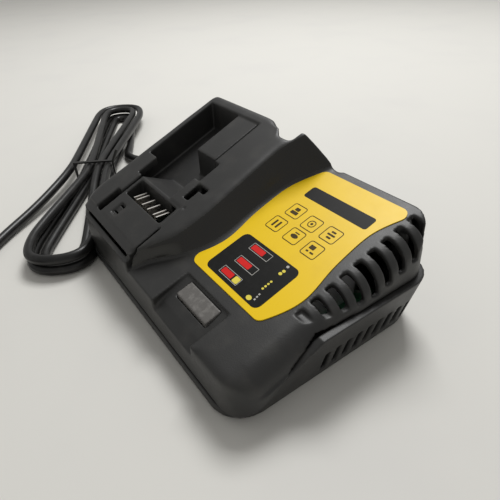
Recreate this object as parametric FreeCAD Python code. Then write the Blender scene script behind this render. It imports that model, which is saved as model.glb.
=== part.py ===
import FreeCAD, Part
import math
import os

# Power tool battery charger, millimetres. X runs to the right, Y to the rear, Z up.
# The origin lies on the surface that the feet stand on, under the middle of the housing.

V = FreeCAD.Vector

# Housing
BODY_WIDTH = 144.0
BODY_DEPTH = 93.0
FLOOR_WIDTH = 132.0
WALL = 2.2
FLOOR_THICKNESS = 2.2
CORNER_RADIUS = 13.0
LEDGE = 1.2
UPPER_TAPER = 3.5
TAPER_HEIGHT = 70.0
FOOT_LIFT = 1.0
SEAM_FRONT_HEIGHT = 5.0
SEAM_RISE_START = 4.0
SEAM_RISE_END = 34.0
SEAM_SIDE_HEIGHT = 26.0
SEAM_GAP = 0.3
SHOULDER_ROUND = 9.0

# Sloping top planes: height at the middle of the depth, and rise per millimetre of depth
LABEL_HEIGHT = 34.2
LABEL_SLOPE = 0.30
DOCK_HEIGHT = 47.0
DOCK_SLOPE = 0.43
DOCK_REAR_DROP = 18.0
DOCK_CREST_BACK = 9.0

# Battery bay
BAY_WIDTH = 41.5
BAY_LEFT_WALL = 4.6
BAY_REAR_WALL = 14.0
BAY_FRONT_WALL = 6.3
BAY_DROP = 14.0
LAND_WIDTH = 22.2
STRIP_WIDTH = 16.0
STRIP_LENGTH = 24.5
STRIP_DROP = 0.8
GROOVE_WIDTH = 1.4
RAMP_LENGTH = 15.0
NOTCH_WIDTH = 4.0
NOTCH_LENGTH = 11.0
NOTCH_BACK = 13.0
NOTCH_DROP = 10.0

# Right wall of the dock: how far back along the depth as a share of it, and how far
# the ridge and the foot of the wall lie to the right of the ridge line there
WALL_PLACES = ((0.0, -13.0, -11.5), (0.07, -9.4, -8.0), (0.134, -5.9, -4.5), (0.21, -1.5, 1.0),
               (0.285, -0.5, 4.9), (0.403, 0.0, 7.9), (0.543, 0.0, 5.9), (0.66, 0.0, 4.8),
               (0.78, 0.0, 4.9), (0.898, 4.0, 8.5), (0.962, 8.0, 11.5), (1.0, 11.5, 14.5))
REAR_ROUND_LENGTH = 23.6
REAR_ROUND_DEPTH = 9.4
REAR_ROUND_BACK = 5.5
REAR_ROUND_BULGE = 0.62
REAR_DIP_WIDTH = 7.4
FRONT_STEPS = ((6.3, 1.0), (2.8, 3.4))

# Rail lips, terminal tower, latch slot and the gaps round the tower
LIP_WIDTH = 8.0
LIP_THICKNESS = 4.0
LIP_LENGTH = 34.0
CHANNEL_DROP = 12.0
NARROW_GAP = 1.2
NARROW_GAP_LENGTH = 11.0
TOWER_INSET = 12.0
TOWER_WIDTH = 39.0
TOWER_LENGTH = 23.2
TOWER_TOP_DROP = 0.6
RIGHT_GAP = 1.7
RIGHT_GAP_LENGTH = 18.5
RIGHT_GAP_DROP = 8.0
PLATE_RECESS_SIZE = (4.8, 6.4, 1.2)
PLATE_RECESS_PLACE = (6.4, 2.6)
LATCH_SLOT_WIDTH = 4.0
LATCH_SLOT_LENGTH = 8.6
LATCH_BAR_WIDTH = 8.0
LATCH_BAR_LENGTH = 2.8
LATCH_PLACE = (5.2, 12.2)
LATCH_DROP = 4.0
PIN_RADIUS = 0.7
PIN_PLACE = (11.9, 0.3)
TERMINAL_WINDOW_WIDTH = 34.6
TERMINAL_WINDOW_LENGTH = 9.0
TERMINAL_WINDOW_BACK = 1.2
BLADE_OFFSETS = (2.7, 8.5, 11.3)
BLADE_THICKNESS = 0.8
BLADE_LENGTH = 6.5
BLADE_TOP_DROP = 3.0
CARRIER_HEIGHT = 9.0
FIT = 0.3

# Vents in the right shoulder and in the lower right side
VENT_COUNT = 10
VENT_PITCH = 6.6
VENT_WIDTH = 3.4
VENT_FIRST = 27.0
VENT_REACH = 13.0
VENT_DROP = 9.0
SIDE_VENT_COUNT = 10
SIDE_VENT_PITCH = 5.3
SIDE_VENT_WIDTH = 2.4
SIDE_VENT_FIRST = 38.0
SIDE_VENT_LOW = 4.5
SIDE_VENT_HIGH = 15.0

# Label and status lens
LABEL_WIDTH = 46.5
LABEL_LENGTH = 66.5
LABEL_FRONT_MARGIN = 21.8
LABEL_WALL_GAP = 2.0
LABEL_THICKNESS = 0.4
LABEL_CORNER = 3.5
LENS_WIDTH = 21.0
LENS_LENGTH = 7.0
LENS_THICKNESS = 3.0
LENS_FROM_RIDGE = 15.8
LENS_FRONT_MARGIN = 9.5
LENS_RECESS = 1.0
SCOOP_MARGIN = 4.0
SCOOP_DEPTH = 3.0
SCOOP_LIP = 5.0

# Circuit board and what stands on it
BOARD_MARGIN_X = 20.0
BOARD_MARGIN_Y = 10.5
BOARD_THICKNESS = 1.6
BOARD_LIFT = 3.4
BOARD_POST_RADIUS = 3.2
BOARD_POST_INSET = 5.0
BOARD_SCREW_RADIUS = 1.0
BOARD_SCREW_BITE = 2.5
BOARD_SCREW_HEAD_RADIUS = 2.7
BOARD_SCREW_HEAD_HEIGHT = 1.5
CORE_WIDTH = 28.0
CORE_DEPTH = 12.0
CORE_HEIGHT = 19.0
CORE_LIMB = 4.0
CORE_POST = 8.0
WINDING_DEPTH = 22.0
BOBBIN_WALL = 1.0
CORE_PLACE = (14.0, 2.0)
INPUT_CAP_RADIUS = 8.0
INPUT_CAP_LENGTH = 15.0
INPUT_CAP_PLACE = (43.5, 29.0)
OUTPUT_CAP_RADIUS = 4.0
OUTPUT_CAP_LENGTH = 12.0
OUTPUT_CAP_PLACE = (13.0, 24.5)
OUTPUT_CAP_PITCH = 10.0
CHOKE_RADIUS = 7.0
CHOKE_BORE_RADIUS = 3.2
CHOKE_HEIGHT = 7.0
CHOKE_PLACE = (-26.0, 20.0)
FUSE_RADIUS = 2.6
FUSE_LENGTH = 18.0
FUSE_PLACE = (-8.0, 12.0)
FUSE_CAP = 4.0
SINK_THICKNESS = 1.6
SINK_LENGTH = 34.0
SINK_HEIGHT = 15.0
SINK_PLACE = (48.0, -8.0)
DEVICE_WIDTH = 10.0
DEVICE_HEIGHT = 13.0
DEVICE_THICKNESS = 4.4
LED_RADIUS = 1.5
LED_COUNT = 3
LED_PITCH = 6.0

# Fasteners and feet
SCREW_RADIUS = 1.5
SCREW_HEAD_RADIUS = 3.0
SCREW_HEAD_HEIGHT = 2.0
SCREW_HEAD_RECESS = 1.2
SCREW_LENGTH = 16.0
SCREW_POST_HEIGHT = 3.0
SCREW_INSET_X = 14.0
SCREW_INSET_Y = 9.0
BOSS_WALL = 2.0
FOOT_RADIUS = 5.5
FOOT_THICKNESS = 2.2
FOOT_INSET_X = 27.0
FOOT_INSET_Y = 8.5

# Mains cord
CORD_DIAMETER = 5.2
CORD_FLOOR_GAP = 0.2
INLET_HEIGHT = 13.0
INLET_BACK = 22.0
RELIEF_LENGTH = 26.0
RELIEF_RADIUS = 4.6
RELIEF_TIP_RADIUS = 3.6
RELIEF_COLLAR = 6.4
RELIEF_GROOVE = 2.6
RELIEF_FLANGE = 2.0
RELIEF_INSET = 1.6
RELIEF_NECK = 5.2
SADDLE_GAP = 1.0
SADDLE_LENGTH = 5.0
SADDLE_WIDTH = 12.0
BLOCK_LENGTH = 10.0
BLOCK_WIDTH = 11.0
BLOCK_HEIGHT = 8.0

# Tied hank: where its near end lies, which way it runs, and its widths
HANK_NEAR_X = -63.0
HANK_NEAR_Y = -62.0
HANK_TURN_DEG = 149.1
HANK_LENGTH = 218.0
HANK_OVERHANG = 16.0
HANK_WAIST = 92.0
HANK_START = 140.0
HANK_END = 112.0
HANK_END_SIDE = 16.0
HANK_INNER_HALF = 9.6
HANK_FAR_INNER_HALF = 5.0
HANK_LOOP_STEP = 6.4
HANK_STRAND_GAP = 0.8
TIE_WIDTH = 2.0
TIE_THICKNESS = 1.0
TIE_GAP = 0.4

# Plug
PLUG_LENGTH = 34.0
PLUG_WIDTH = 24.0
PLUG_HEIGHT = 14.0
PRONG_LENGTH = 16.0
PRONG_WIDTH = 6.3
PRONG_THICKNESS = 1.5
PRONG_SPACING = 12.7
PLUG_NECK_LENGTH = 22.0
PLUG_NECK_RADIUS = 5.2
PLUG_CORNER = 5.0
PRONG_ROOT = 6.0

LEFT = -BODY_WIDTH / 2
FRONT = -BODY_DEPTH / 2
REAR = BODY_DEPTH / 2
BAY_X0 = LEFT + LEDGE + UPPER_TAPER + BAY_LEFT_WALL
BAY_X1 = BAY_X0 + BAY_WIDTH
BAY_Y0 = FRONT + BAY_FRONT_WALL
BAY_Y1 = REAR - BAY_REAR_WALL
DOCK_RIDGE = BAY_X1 + LAND_WIDTH
TOWER_X1 = DOCK_RIDGE - TOWER_INSET
TOWER_X0 = TOWER_X1 - TOWER_WIDTH
TOWER_MID = (TOWER_X0 + TOWER_X1) / 2
TOWER_Y1 = BAY_Y0 + TOWER_LENGTH
LENS_X0 = DOCK_RIDGE + LENS_FROM_RIDGE
BOARD_WIDTH = BODY_WIDTH - 2 * BOARD_MARGIN_X
BOARD_DEPTH = BODY_DEPTH - 2 * BOARD_MARGIN_Y
BOARD_TOP = FOOT_LIFT + FLOOR_THICKNESS + BOARD_LIFT + BOARD_THICKNESS
CORD_RADIUS = CORD_DIAMETER / 2
TALL = 100.0
ROOT = 0.5
THREAD_GAP = 0.05


def label_z(y, drop=0.0):
    return LABEL_HEIGHT + LABEL_SLOPE * y - drop


def dock_z(y, drop=0.0):
    return DOCK_HEIGHT + DOCK_SLOPE * y - drop


def box(x0, x1, y0, y1, z0, z1):
    return Part.makeBox(x1 - x0, y1 - y0, z1 - z0, V(x0, y0, z0))


def rod(radius, length, base, axis=V(0, 0, 1)):
    return Part.makeCylinder(radius, length, base, axis)


def side_prism(points, x0, x1):
    """A solid from a closed outline in the Y-Z plane, run from x0 to x1."""
    wire = Part.makePolygon([V(x0, y, z) for y, z in points + points[:1]])
    return Part.Face(wire).extrude(V(x1 - x0, 0, 0))


def front_prism(points, y0, y1):
    """A solid from a closed outline in the X-Z plane, run from y0 to y1."""
    wire = Part.makePolygon([V(x, y0, z) for x, z in points + points[:1]])
    return Part.Face(wire).extrude(V(0, y1 - y0, 0))


def slab_under(plane, x0, x1, y0, y1, drop=0.0, low=-1.0):
    """Everything under a sloping plane, between two X and two Y places."""
    outline = [(y0, low), (y1, low), (y1, plane(y1, drop)), (y0, plane(y0, drop))]
    return side_prism(outline, x0, x1)


def slab_between(plane, x0, x1, y0, y1, low_drop, high_drop):
    """A sloping slab between two drops below a plane."""
    outline = [(y0, plane(y0, low_drop)), (y1, plane(y1, low_drop)),
               (y1, plane(y1, high_drop)), (y0, plane(y0, high_drop))]
    return side_prism(outline, x0, x1)


def round_outline(half_x, half_y, radius, z):
    """Rounded rectangle about the Z axis as a wire of four lines and four arcs."""
    k = radius * (1 - math.sqrt(0.5))
    edges = []
    for sx, sy in ((1, 1), (-1, 1), (-1, -1), (1, -1)):
        on_side = V(sx * half_x, sy * (half_y - radius), z)
        on_end = V(sx * (half_x - radius), sy * half_y, z)
        middle = V(sx * (half_x - k), sy * (half_y - k), z)
        first, last = (on_side, on_end) if sx * sy > 0 else (on_end, on_side)
        edges.append((first, middle, last))
    wire = []
    for here, after in zip(edges, edges[1:] + edges[:1]):
        wire.append(Part.Arc(*here).toShape())
        wire.append(Part.LineSegment(here[2], after[0]).toShape())
    return Part.Wire(wire)


def round_loft(sections):
    return Part.makeLoft([round_outline(*s) for s in sections], True, True)


# Housing shapes
def seam_solid(raise_by):
    """Everything below the parting line, which climbs from the front to the sides."""
    low = SEAM_FRONT_HEIGHT + raise_by
    high = SEAM_SIDE_HEIGHT + raise_by
    outline = [(FRONT - 5, -5), (REAR + 5, -5), (REAR + 5, high), (FRONT + SEAM_RISE_END, high),
               (FRONT + SEAM_RISE_START, low), (FRONT - 5, low)]
    return side_prism(outline, LEFT - 5, -LEFT + 5)


def lower_form(inset):
    half_floor = FLOOR_WIDTH / 2 - inset
    half_ledge = BODY_WIDTH / 2 - inset - (LEDGE if inset else 0)
    half_depth = BODY_DEPTH / 2 - inset
    radius = CORNER_RADIUS - inset
    bottom = FOOT_LIFT + (FLOOR_THICKNESS if inset else 0)
    return round_loft([(half_floor, half_depth, radius, bottom),
                       (half_ledge, half_depth, radius, SEAM_SIDE_HEIGHT + 1)])


def wall_form(inset):
    """The dock's block with its waved right wall, as a loft through upright sections."""
    sections = []
    for share, ridge, foot in WALL_PLACES:
        y = FRONT + share * BODY_DEPTH
        x_foot = DOCK_RIDGE + foot - inset
        lean = (ridge - foot) / (dock_z(y) - label_z(y))
        low = label_z(y) - 2
        high = dock_z(y) + 2
        corners = [V(LEFT, y, -1), V(x_foot - 2 * lean, y, -1), V(x_foot - 2 * lean, y, low),
                   V(x_foot + lean * (high - label_z(y)), y, high), V(LEFT, y, high)]
        sections.append(Part.makePolygon(corners + corners[:1]))
    return Part.makeLoft(sections, True, False)


def rear_rounding(inset):
    """Waste behind the round rear corner of the dock and in the dip beside it."""
    x0 = DOCK_RIDGE - REAR_DIP_WIDTH - REAR_ROUND_LENGTH - inset
    x1 = DOCK_RIDGE - REAR_DIP_WIDTH - inset
    x2 = DOCK_RIDGE + inset
    y0 = REAR - REAR_ROUND_BACK - inset
    y1 = y0 - REAR_ROUND_DEPTH
    bulge = V(x0 + REAR_ROUND_LENGTH * REAR_ROUND_BULGE, y0 - REAR_ROUND_DEPTH * (1 - REAR_ROUND_BULGE), 0)
    arc = Part.Arc(V(x0, y0, 0), bulge, V(x1, y1, 0)).toShape()
    corners = [V(x1, y1, 0), V(x2, y1, 0), V(x2, REAR + 1, 0), V(x0, REAR + 1, 0), V(x0, y0, 0)]
    return Part.Face(Part.Wire([arc] + Part.makePolygon(corners).Edges)).extrude(V(0, 0, TALL))


def upper_form(inset):
    """Outer form of the upper housing, or the same form shrunk by a wall."""
    low_half = BODY_WIDTH / 2 - LEDGE - inset
    half_depth = BODY_DEPTH / 2 - LEDGE / 2 - inset
    radius = CORNER_RADIUS - inset
    shell = round_loft([(low_half, half_depth, radius, 0),
                        (low_half - UPPER_TAPER, half_depth, radius, TAPER_HEIGHT)])
    label_part = slab_under(label_z, LEFT, -LEFT, FRONT, REAR, inset)
    crest = REAR - DOCK_CREST_BACK - inset
    dock_outline = [(FRONT, -1), (REAR, -1), (REAR, dock_z(REAR, DOCK_REAR_DROP + inset)),
                    (crest, dock_z(crest, inset)), (FRONT, dock_z(FRONT, inset))]
    dock = side_prism(dock_outline, LEFT, -LEFT).common(wall_form(inset)).cut(rear_rounding(inset))
    edge_x = BODY_WIDTH / 2 - LEDGE - UPPER_TAPER / 2 - inset
    shoulder = edge_rounder(SHOULDER_ROUND - inset, edge_x, inset, FRONT - 1, REAR + 1)
    return label_part.fuse(dock).removeSplitter().common(shell).cut(shoulder)


def edge_rounder(radius, edge_x, drop, y0, y1):
    """Waste outside a rounded edge that runs to the rear, this far below the label's plane."""
    z = label_z(y0, drop)
    corner = Part.makePolygon([V(edge_x - radius, y0, z + 3), V(edge_x - radius, y0, z),
                               V(edge_x, y0, z - radius), V(edge_x + 9, y0, z - radius),
                               V(edge_x + 9, y0, z + 3), V(edge_x - radius, y0, z + 3)])
    run = V(0, y1 - y0, label_z(y1, drop) - z)
    disc = Part.Face(Part.Wire(Part.makeCircle(radius, V(edge_x - radius, y0, z - radius), V(0, 1, 0))))
    block = Part.Face(corner).extrude(run)
    return block.cut(disc.extrude(run))


def front_stepping():
    """Waste above the steps in front of the tower."""
    slabs = [slab_between(dock_z, LEFT, DOCK_RIDGE, FRONT - 1, FRONT + back, drop, -TALL)
             for back, drop in FRONT_STEPS]
    return slabs[0].fuse(slabs[1])


def upper_outer():
    steps = front_stepping().cut(slab_under(label_z, LEFT, DOCK_RIDGE, FRONT - 1, REAR))
    return upper_form(0).cut(steps)


def bay_cut():
    """The open bay with its ramp, raised strip and groove, and the gaps round the tower."""
    cut = slab_between(dock_z, BAY_X0, BAY_X1, TOWER_Y1, BAY_Y1, BAY_DROP, -TALL)
    strip_x1 = BAY_X1 - GROOVE_WIDTH
    strip_x0 = strip_x1 - STRIP_WIDTH
    cut = cut.cut(slab_between(dock_z, strip_x0, strip_x1, BAY_Y1 - STRIP_LENGTH, BAY_Y1, BAY_DROP, STRIP_DROP))
    ramp_y = TOWER_Y1 + RAMP_LENGTH
    ramp = [(TOWER_Y1, dock_z(TOWER_Y1, BAY_DROP)), (ramp_y, dock_z(ramp_y, BAY_DROP)),
            (TOWER_Y1, dock_z(TOWER_Y1, TOWER_TOP_DROP))]
    cut = cut.cut(side_prism(ramp, TOWER_X0, BAY_X1))
    cut = cut.fuse(slab_between(dock_z, BAY_X0, TOWER_X0, BAY_Y0, TOWER_Y1, CHANNEL_DROP, -TALL))
    narrow_x = TOWER_X0 - NARROW_GAP
    narrow_y = TOWER_Y1 - NARROW_GAP_LENGTH
    for x1, y0, y1 in ((BAY_X0 + LIP_WIDTH, BAY_Y0, BAY_Y0 + LIP_LENGTH), (narrow_x, narrow_y, TOWER_Y1)):
        cut = cut.cut(slab_between(dock_z, BAY_X0, x1, y0, y1, LIP_THICKNESS, -1))
    top_trim = slab_between(dock_z, TOWER_X0, TOWER_X1, BAY_Y0, TOWER_Y1, TOWER_TOP_DROP, -1)
    cut = cut.multiFuse([top_trim, notch(0), right_gap(0)])
    return cut.removeSplitter()


def notch(grow):
    """Notch in the land beside the bay, or the block that holds it."""
    y0 = TOWER_Y1 + NOTCH_BACK
    return slab_between(dock_z, BAY_X1 - 1, BAY_X1 + NOTCH_WIDTH + grow, y0 - grow, y0 + NOTCH_LENGTH + grow,
                        NOTCH_DROP + grow, -TALL)


def right_gap(grow):
    """Gap at the right of the tower, open at the front, or the block that holds it."""
    return slab_between(dock_z, TOWER_X1 - grow, TOWER_X1 + RIGHT_GAP + grow, FRONT - 1,
                        FRONT + RIGHT_GAP_LENGTH + grow, RIGHT_GAP_DROP + grow, -TALL)


def top_details():
    """Latch slot and pin hole in the land, and the shallow recess in the front plate."""
    x0 = BAY_X1 + LATCH_PLACE[0]
    y1 = TOWER_Y1 + LATCH_PLACE[1]
    slot = slab_between(dock_z, x0, x0 + LATCH_SLOT_WIDTH, y1 - LATCH_SLOT_LENGTH, y1, LATCH_DROP, -1)
    bar = slab_between(dock_z, x0, x0 + LATCH_BAR_WIDTH, y1 - LATCH_BAR_LENGTH, y1, LATCH_DROP, -1)
    pin_y = TOWER_Y1 + PIN_PLACE[1]
    pin = rod(PIN_RADIUS, TALL, V(BAY_X1 + PIN_PLACE[0], pin_y, dock_z(pin_y, LATCH_DROP)))
    width, length, depth = PLATE_RECESS_SIZE
    x1 = TOWER_X0 + PLATE_RECESS_PLACE[0]
    y0 = BAY_Y0 + PLATE_RECESS_PLACE[1]
    recess = slab_between(dock_z, x1, x1 + width, y0, y0 + length, TOWER_TOP_DROP + depth, -1)
    return Part.makeCompound([slot.fuse(bar), pin, recess])


def window_box(grow, z0, z1):
    y1 = TOWER_Y1 - TERMINAL_WINDOW_BACK
    half = TERMINAL_WINDOW_WIDTH / 2
    return box(TOWER_MID - half - grow, TOWER_MID + half + grow,
               y1 - TERMINAL_WINDOW_LENGTH - grow, y1 + grow, z0, z1)


def tub_block():
    """The block that holds the bay's floor and walls, open above."""
    bay = slab_between(dock_z, BAY_X0 - WALL, BAY_X1 + WALL, TOWER_Y1 - WALL, BAY_Y1 + WALL,
                       BAY_DROP + WALL, -TALL)
    channel = slab_between(dock_z, BAY_X0 - WALL, TOWER_X0 + WALL, BAY_Y0 - WALL, TOWER_Y1,
                           CHANNEL_DROP + WALL, -TALL)
    return bay.multiFuse([channel, notch(WALL), right_gap(WALL)])


def bay_tub():
    """Solid that stays round the bay, with the room under the raised strip left open."""
    x1 = BAY_X1 - GROOVE_WIDTH - WALL
    room = slab_between(dock_z, x1 + 2 * WALL - STRIP_WIDTH, x1, BAY_Y1 - STRIP_LENGTH + WALL,
                        BAY_Y1 + WALL, BAY_DROP + WALL, STRIP_DROP + WALL)
    return tub_block().cut(room)


def lens_frame(grow, low_drop, high_drop):
    x0 = LENS_X0
    y0 = FRONT + LENS_FRONT_MARGIN
    return slab_between(label_z, x0 - grow, x0 + LENS_WIDTH + grow, y0 - grow, y0 + LENS_LENGTH + grow,
                        low_drop, high_drop)


def lens_seat():
    """Thicker stretch of the top wall under the lens and the scoop in front of it."""
    x0 = LENS_X0 - SCOOP_MARGIN - WALL
    x1 = x0 + LENS_WIDTH + 2 * (SCOOP_MARGIN + WALL)
    y1 = FRONT + LENS_FRONT_MARGIN + LENS_LENGTH + SCOOP_MARGIN
    seat = slab_between(label_z, x0, x1, FRONT, y1, LENS_RECESS + LENS_THICKNESS + WALL, 0)
    lip = box(x0, x1, FRONT, FRONT + WALL + SCOOP_DEPTH, SEAM_FRONT_HEIGHT + SEAM_GAP, label_z(FRONT))
    return seat.fuse(lip)


def scoop_cut():
    x0 = LENS_X0 - SCOOP_MARGIN
    y1 = FRONT + LENS_FRONT_MARGIN + LENS_LENGTH + 1
    x1 = x0 + LENS_WIDTH + 2 * SCOOP_MARGIN
    lip_y = FRONT + SCOOP_LIP
    outline = [(y1, label_z(y1, -1)), (y1, label_z(y1, LENS_RECESS)), (lip_y, label_z(lip_y, SCOOP_DEPTH)),
               (FRONT - 1, label_z(FRONT, 2 * SCOOP_DEPTH)), (FRONT - 1, label_z(FRONT, -1))]
    return side_prism(outline, x0, x1)


def light_holes():
    """Holes through the lens seat, one over each status light."""
    x0, y0 = led_middle()
    holes = [rod(LED_RADIUS + FIT, TALL / 4, V(x0 + (i - (LED_COUNT - 1) / 2) * LED_PITCH, y0, BOARD_TOP))
             for i in range(LED_COUNT)]
    return Part.makeCompound(holes)


def led_middle():
    return LENS_X0 + LENS_WIDTH / 2, FRONT + LENS_FRONT_MARGIN + LENS_LENGTH / 2


def shoulder_vents():
    """Slots that run over the right shoulder and stop above the ledge."""
    slots = []
    right = -LEFT
    for i in range(VENT_COUNT):
        y0 = FRONT + VENT_FIRST + i * VENT_PITCH - VENT_WIDTH / 2
        low = max(label_z(y0, VENT_DROP), SEAM_SIDE_HEIGHT + 3)
        slots.append(box(right - VENT_REACH, right + 2, y0, y0 + VENT_WIDTH, low, low + 40))
    return Part.makeCompound(slots)


def side_vents():
    slots = []
    right = -LEFT
    for i in range(SIDE_VENT_COUNT):
        y0 = FRONT + SIDE_VENT_FIRST + i * SIDE_VENT_PITCH
        slots.append(box(right - 15, right + 2, y0, y0 + SIDE_VENT_WIDTH, SIDE_VENT_LOW, SIDE_VENT_HIGH))
    return Part.makeCompound(slots)


def screw_places():
    x = BODY_WIDTH / 2 - SCREW_INSET_X
    y = BODY_DEPTH / 2 - SCREW_INSET_Y
    return [(sx * x, sy * y) for sx in (-1, 1) for sy in (-1, 1)]


def foot_places():
    x = BODY_WIDTH / 2 - FOOT_INSET_X
    y = BODY_DEPTH / 2 - FOOT_INSET_Y
    return [(sx * x, sy * y) for sx in (-1, 1) for sy in (-1, 1)]


def board_posts():
    x = BOARD_WIDTH / 2 - BOARD_POST_INSET
    y = BOARD_DEPTH / 2 - BOARD_POST_INSET
    return [(sx * x, sy * y) for sx in (-1, 1) for sy in (-1, 1)]


def inlet_hole(radius, x0, x1):
    y = REAR - INLET_BACK
    return rod(radius, x1 - x0, V(x0, y, INLET_HEIGHT), V(1, 0, 0))


BOSS_RADIUS = SCREW_RADIUS + BOSS_WALL
SCREW_SEAT = FOOT_LIFT + SCREW_HEAD_RECESS + SCREW_HEAD_HEIGHT


def lower_housing():
    shell = lower_form(0).cut(lower_form(WALL))
    posts = []
    floor_top = FOOT_LIFT + FLOOR_THICKNESS
    for x, y in board_posts():
        posts.append(rod(BOARD_POST_RADIUS, BOARD_LIFT + ROOT, V(x, y, floor_top - ROOT)))
    for x, y in screw_places():
        height = SCREW_HEAD_HEIGHT + SCREW_POST_HEIGHT + ROOT
        posts.append(rod(SCREW_HEAD_RADIUS + BOSS_WALL, height, V(x, y, floor_top - ROOT)))
    solid = shell.multiFuse(posts).common(lower_form(0)).common(seam_solid(0))
    for x, y in screw_places():
        solid = solid.cut(rod(SCREW_RADIUS + FIT, 20, V(x, y, 0)))
        solid = solid.cut(rod(SCREW_HEAD_RADIUS + FIT, SCREW_SEAT, V(x, y, 0)))
    for x, y in foot_places():
        solid = solid.cut(rod(FOOT_RADIUS + FIT / 2, FOOT_THICKNESS - FOOT_LIFT, V(x, y, FOOT_LIFT)))
    for x, y in board_posts():
        tip = V(x, y, BOARD_TOP - BOARD_THICKNESS - BOARD_SCREW_BITE)
        solid = solid.cut(rod(BOARD_SCREW_RADIUS, BOARD_SCREW_BITE, tip))
    solid = solid.cut(side_vents())
    return solid.cut(inlet_hole(RELIEF_COLLAR - RELIEF_GROOVE + FIT, LEFT - 2, LEFT + 12)).removeSplitter()


def upper_housing():
    outer = upper_outer()
    cavity = upper_form(WALL).cut(bay_tub())
    seat = lens_seat().common(outer)
    shell = outer.cut(cavity).fuse(seat).cut(bay_cut()).cut(window_box(0, 0, TALL)).cut(top_details())
    above = box(LEFT - 9, -LEFT + 9, FRONT - 9, REAR + 9, -9, TALL).cut(seam_solid(SEAM_GAP))
    inner_room = lower_form(WALL + FIT)
    kept = shell.common(above).fuse(shell.common(tub_block()).common(inner_room))
    kept = kept.cut(scoop_cut()).cut(lens_frame(FIT / 2, LENS_RECESS + LENS_THICKNESS, -1)).cut(light_holes())
    kept = kept.cut(shoulder_vents())
    bosses = []
    for x, y in screw_places():
        boss_bottom = FOOT_LIFT + FLOOR_THICKNESS + SCREW_HEAD_HEIGHT + SCREW_POST_HEIGHT + FIT
        bosses.append(rod(BOSS_RADIUS, TALL, V(x, y, boss_bottom)))
    kept = kept.fuse(Part.makeCompound(bosses).common(upper_form(WALL / 2)).cut(bay_cut()))
    for x, y in screw_places():
        kept = kept.cut(rod(SCREW_RADIUS + THREAD_GAP, SCREW_LENGTH, V(x, y, FOOT_LIFT)))
    return kept.removeSplitter()


# Contacts
def blade_places():
    return [TOWER_MID + sign * offset for sign in (-1, 1) for offset in BLADE_OFFSETS]


WINDOW_MID_Y = TOWER_Y1 - TERMINAL_WINDOW_BACK - TERMINAL_WINDOW_LENGTH / 2
CARRIER_TOP = dock_z(WINDOW_MID_Y, BLADE_TOP_DROP + CARRIER_HEIGHT)


def terminal_blades():
    top = dock_z(WINDOW_MID_Y, BLADE_TOP_DROP)
    half = BLADE_THICKNESS / 2
    y0 = WINDOW_MID_Y - BLADE_LENGTH / 2
    return [box(x - half, x + half, y0, y0 + BLADE_LENGTH, BOARD_TOP, top) for x in blade_places()]


def terminal_carrier():
    half = TERMINAL_WINDOW_WIDTH / 2 - FIT
    half_y = TERMINAL_WINDOW_LENGTH / 2 - FIT
    block = box(TOWER_MID - half, TOWER_MID + half, WINDOW_MID_Y - half_y, WINDOW_MID_Y + half_y,
                BOARD_TOP, CARRIER_TOP)
    for blade in terminal_blades():
        block = block.cut(blade)
    return block


# Label, lens and board
def label_sheet():
    """Thin sheet whose long sides follow the wave of the dock's wall."""
    edges = []
    for shift in (LABEL_WALL_GAP, LABEL_WALL_GAP + LABEL_WIDTH):
        curve = Part.BSplineCurve()
        curve.interpolate([V(DOCK_RIDGE + foot + shift, FRONT + share * BODY_DEPTH, 0)
                           for share, ridge, foot in WALL_PLACES])
        edges.append(curve)
    ends = [Part.LineSegment(edges[0].StartPoint, edges[1].StartPoint),
            Part.LineSegment(edges[0].EndPoint, edges[1].EndPoint)]
    wire = Part.Wire(Part.__sortEdges__([e.toShape() for e in edges + ends]))
    y0 = FRONT + LABEL_FRONT_MARGIN
    band = box(LEFT, -LEFT, y0, y0 + LABEL_LENGTH, 0, TALL)
    plan = Part.Face(wire).extrude(V(0, 0, TALL)).common(band)
    uprights = [e for e in plan.Edges if abs(e.Vertexes[0].Z - e.Vertexes[-1].Z) > TALL / 2]
    rounded = plan.makeFillet(LABEL_CORNER, uprights)
    return slab_between(label_z, LEFT, -LEFT, FRONT, REAR, 0, -LABEL_THICKNESS).common(rounded)


def status_lens():
    return lens_frame(0, LENS_RECESS + LENS_THICKNESS, LENS_RECESS)


def circuit_board():
    z0 = BOARD_TOP - BOARD_THICKNESS
    board = box(-BOARD_WIDTH / 2, BOARD_WIDTH / 2, -BOARD_DEPTH / 2, BOARD_DEPTH / 2, z0, BOARD_TOP)
    for x, y in board_posts():
        board = board.cut(rod(SCREW_RADIUS, BOARD_THICKNESS, V(x, y, z0)))
    return board


def board_screws():
    screws = []
    for x, y in board_posts():
        head = rod(BOARD_SCREW_HEAD_RADIUS, BOARD_SCREW_HEAD_HEIGHT, V(x, y, BOARD_TOP))
        length = BOARD_THICKNESS + BOARD_SCREW_BITE
        screws.append(head.fuse(rod(BOARD_SCREW_RADIUS, length, V(x, y, BOARD_TOP - length))))
    return screws


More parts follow.
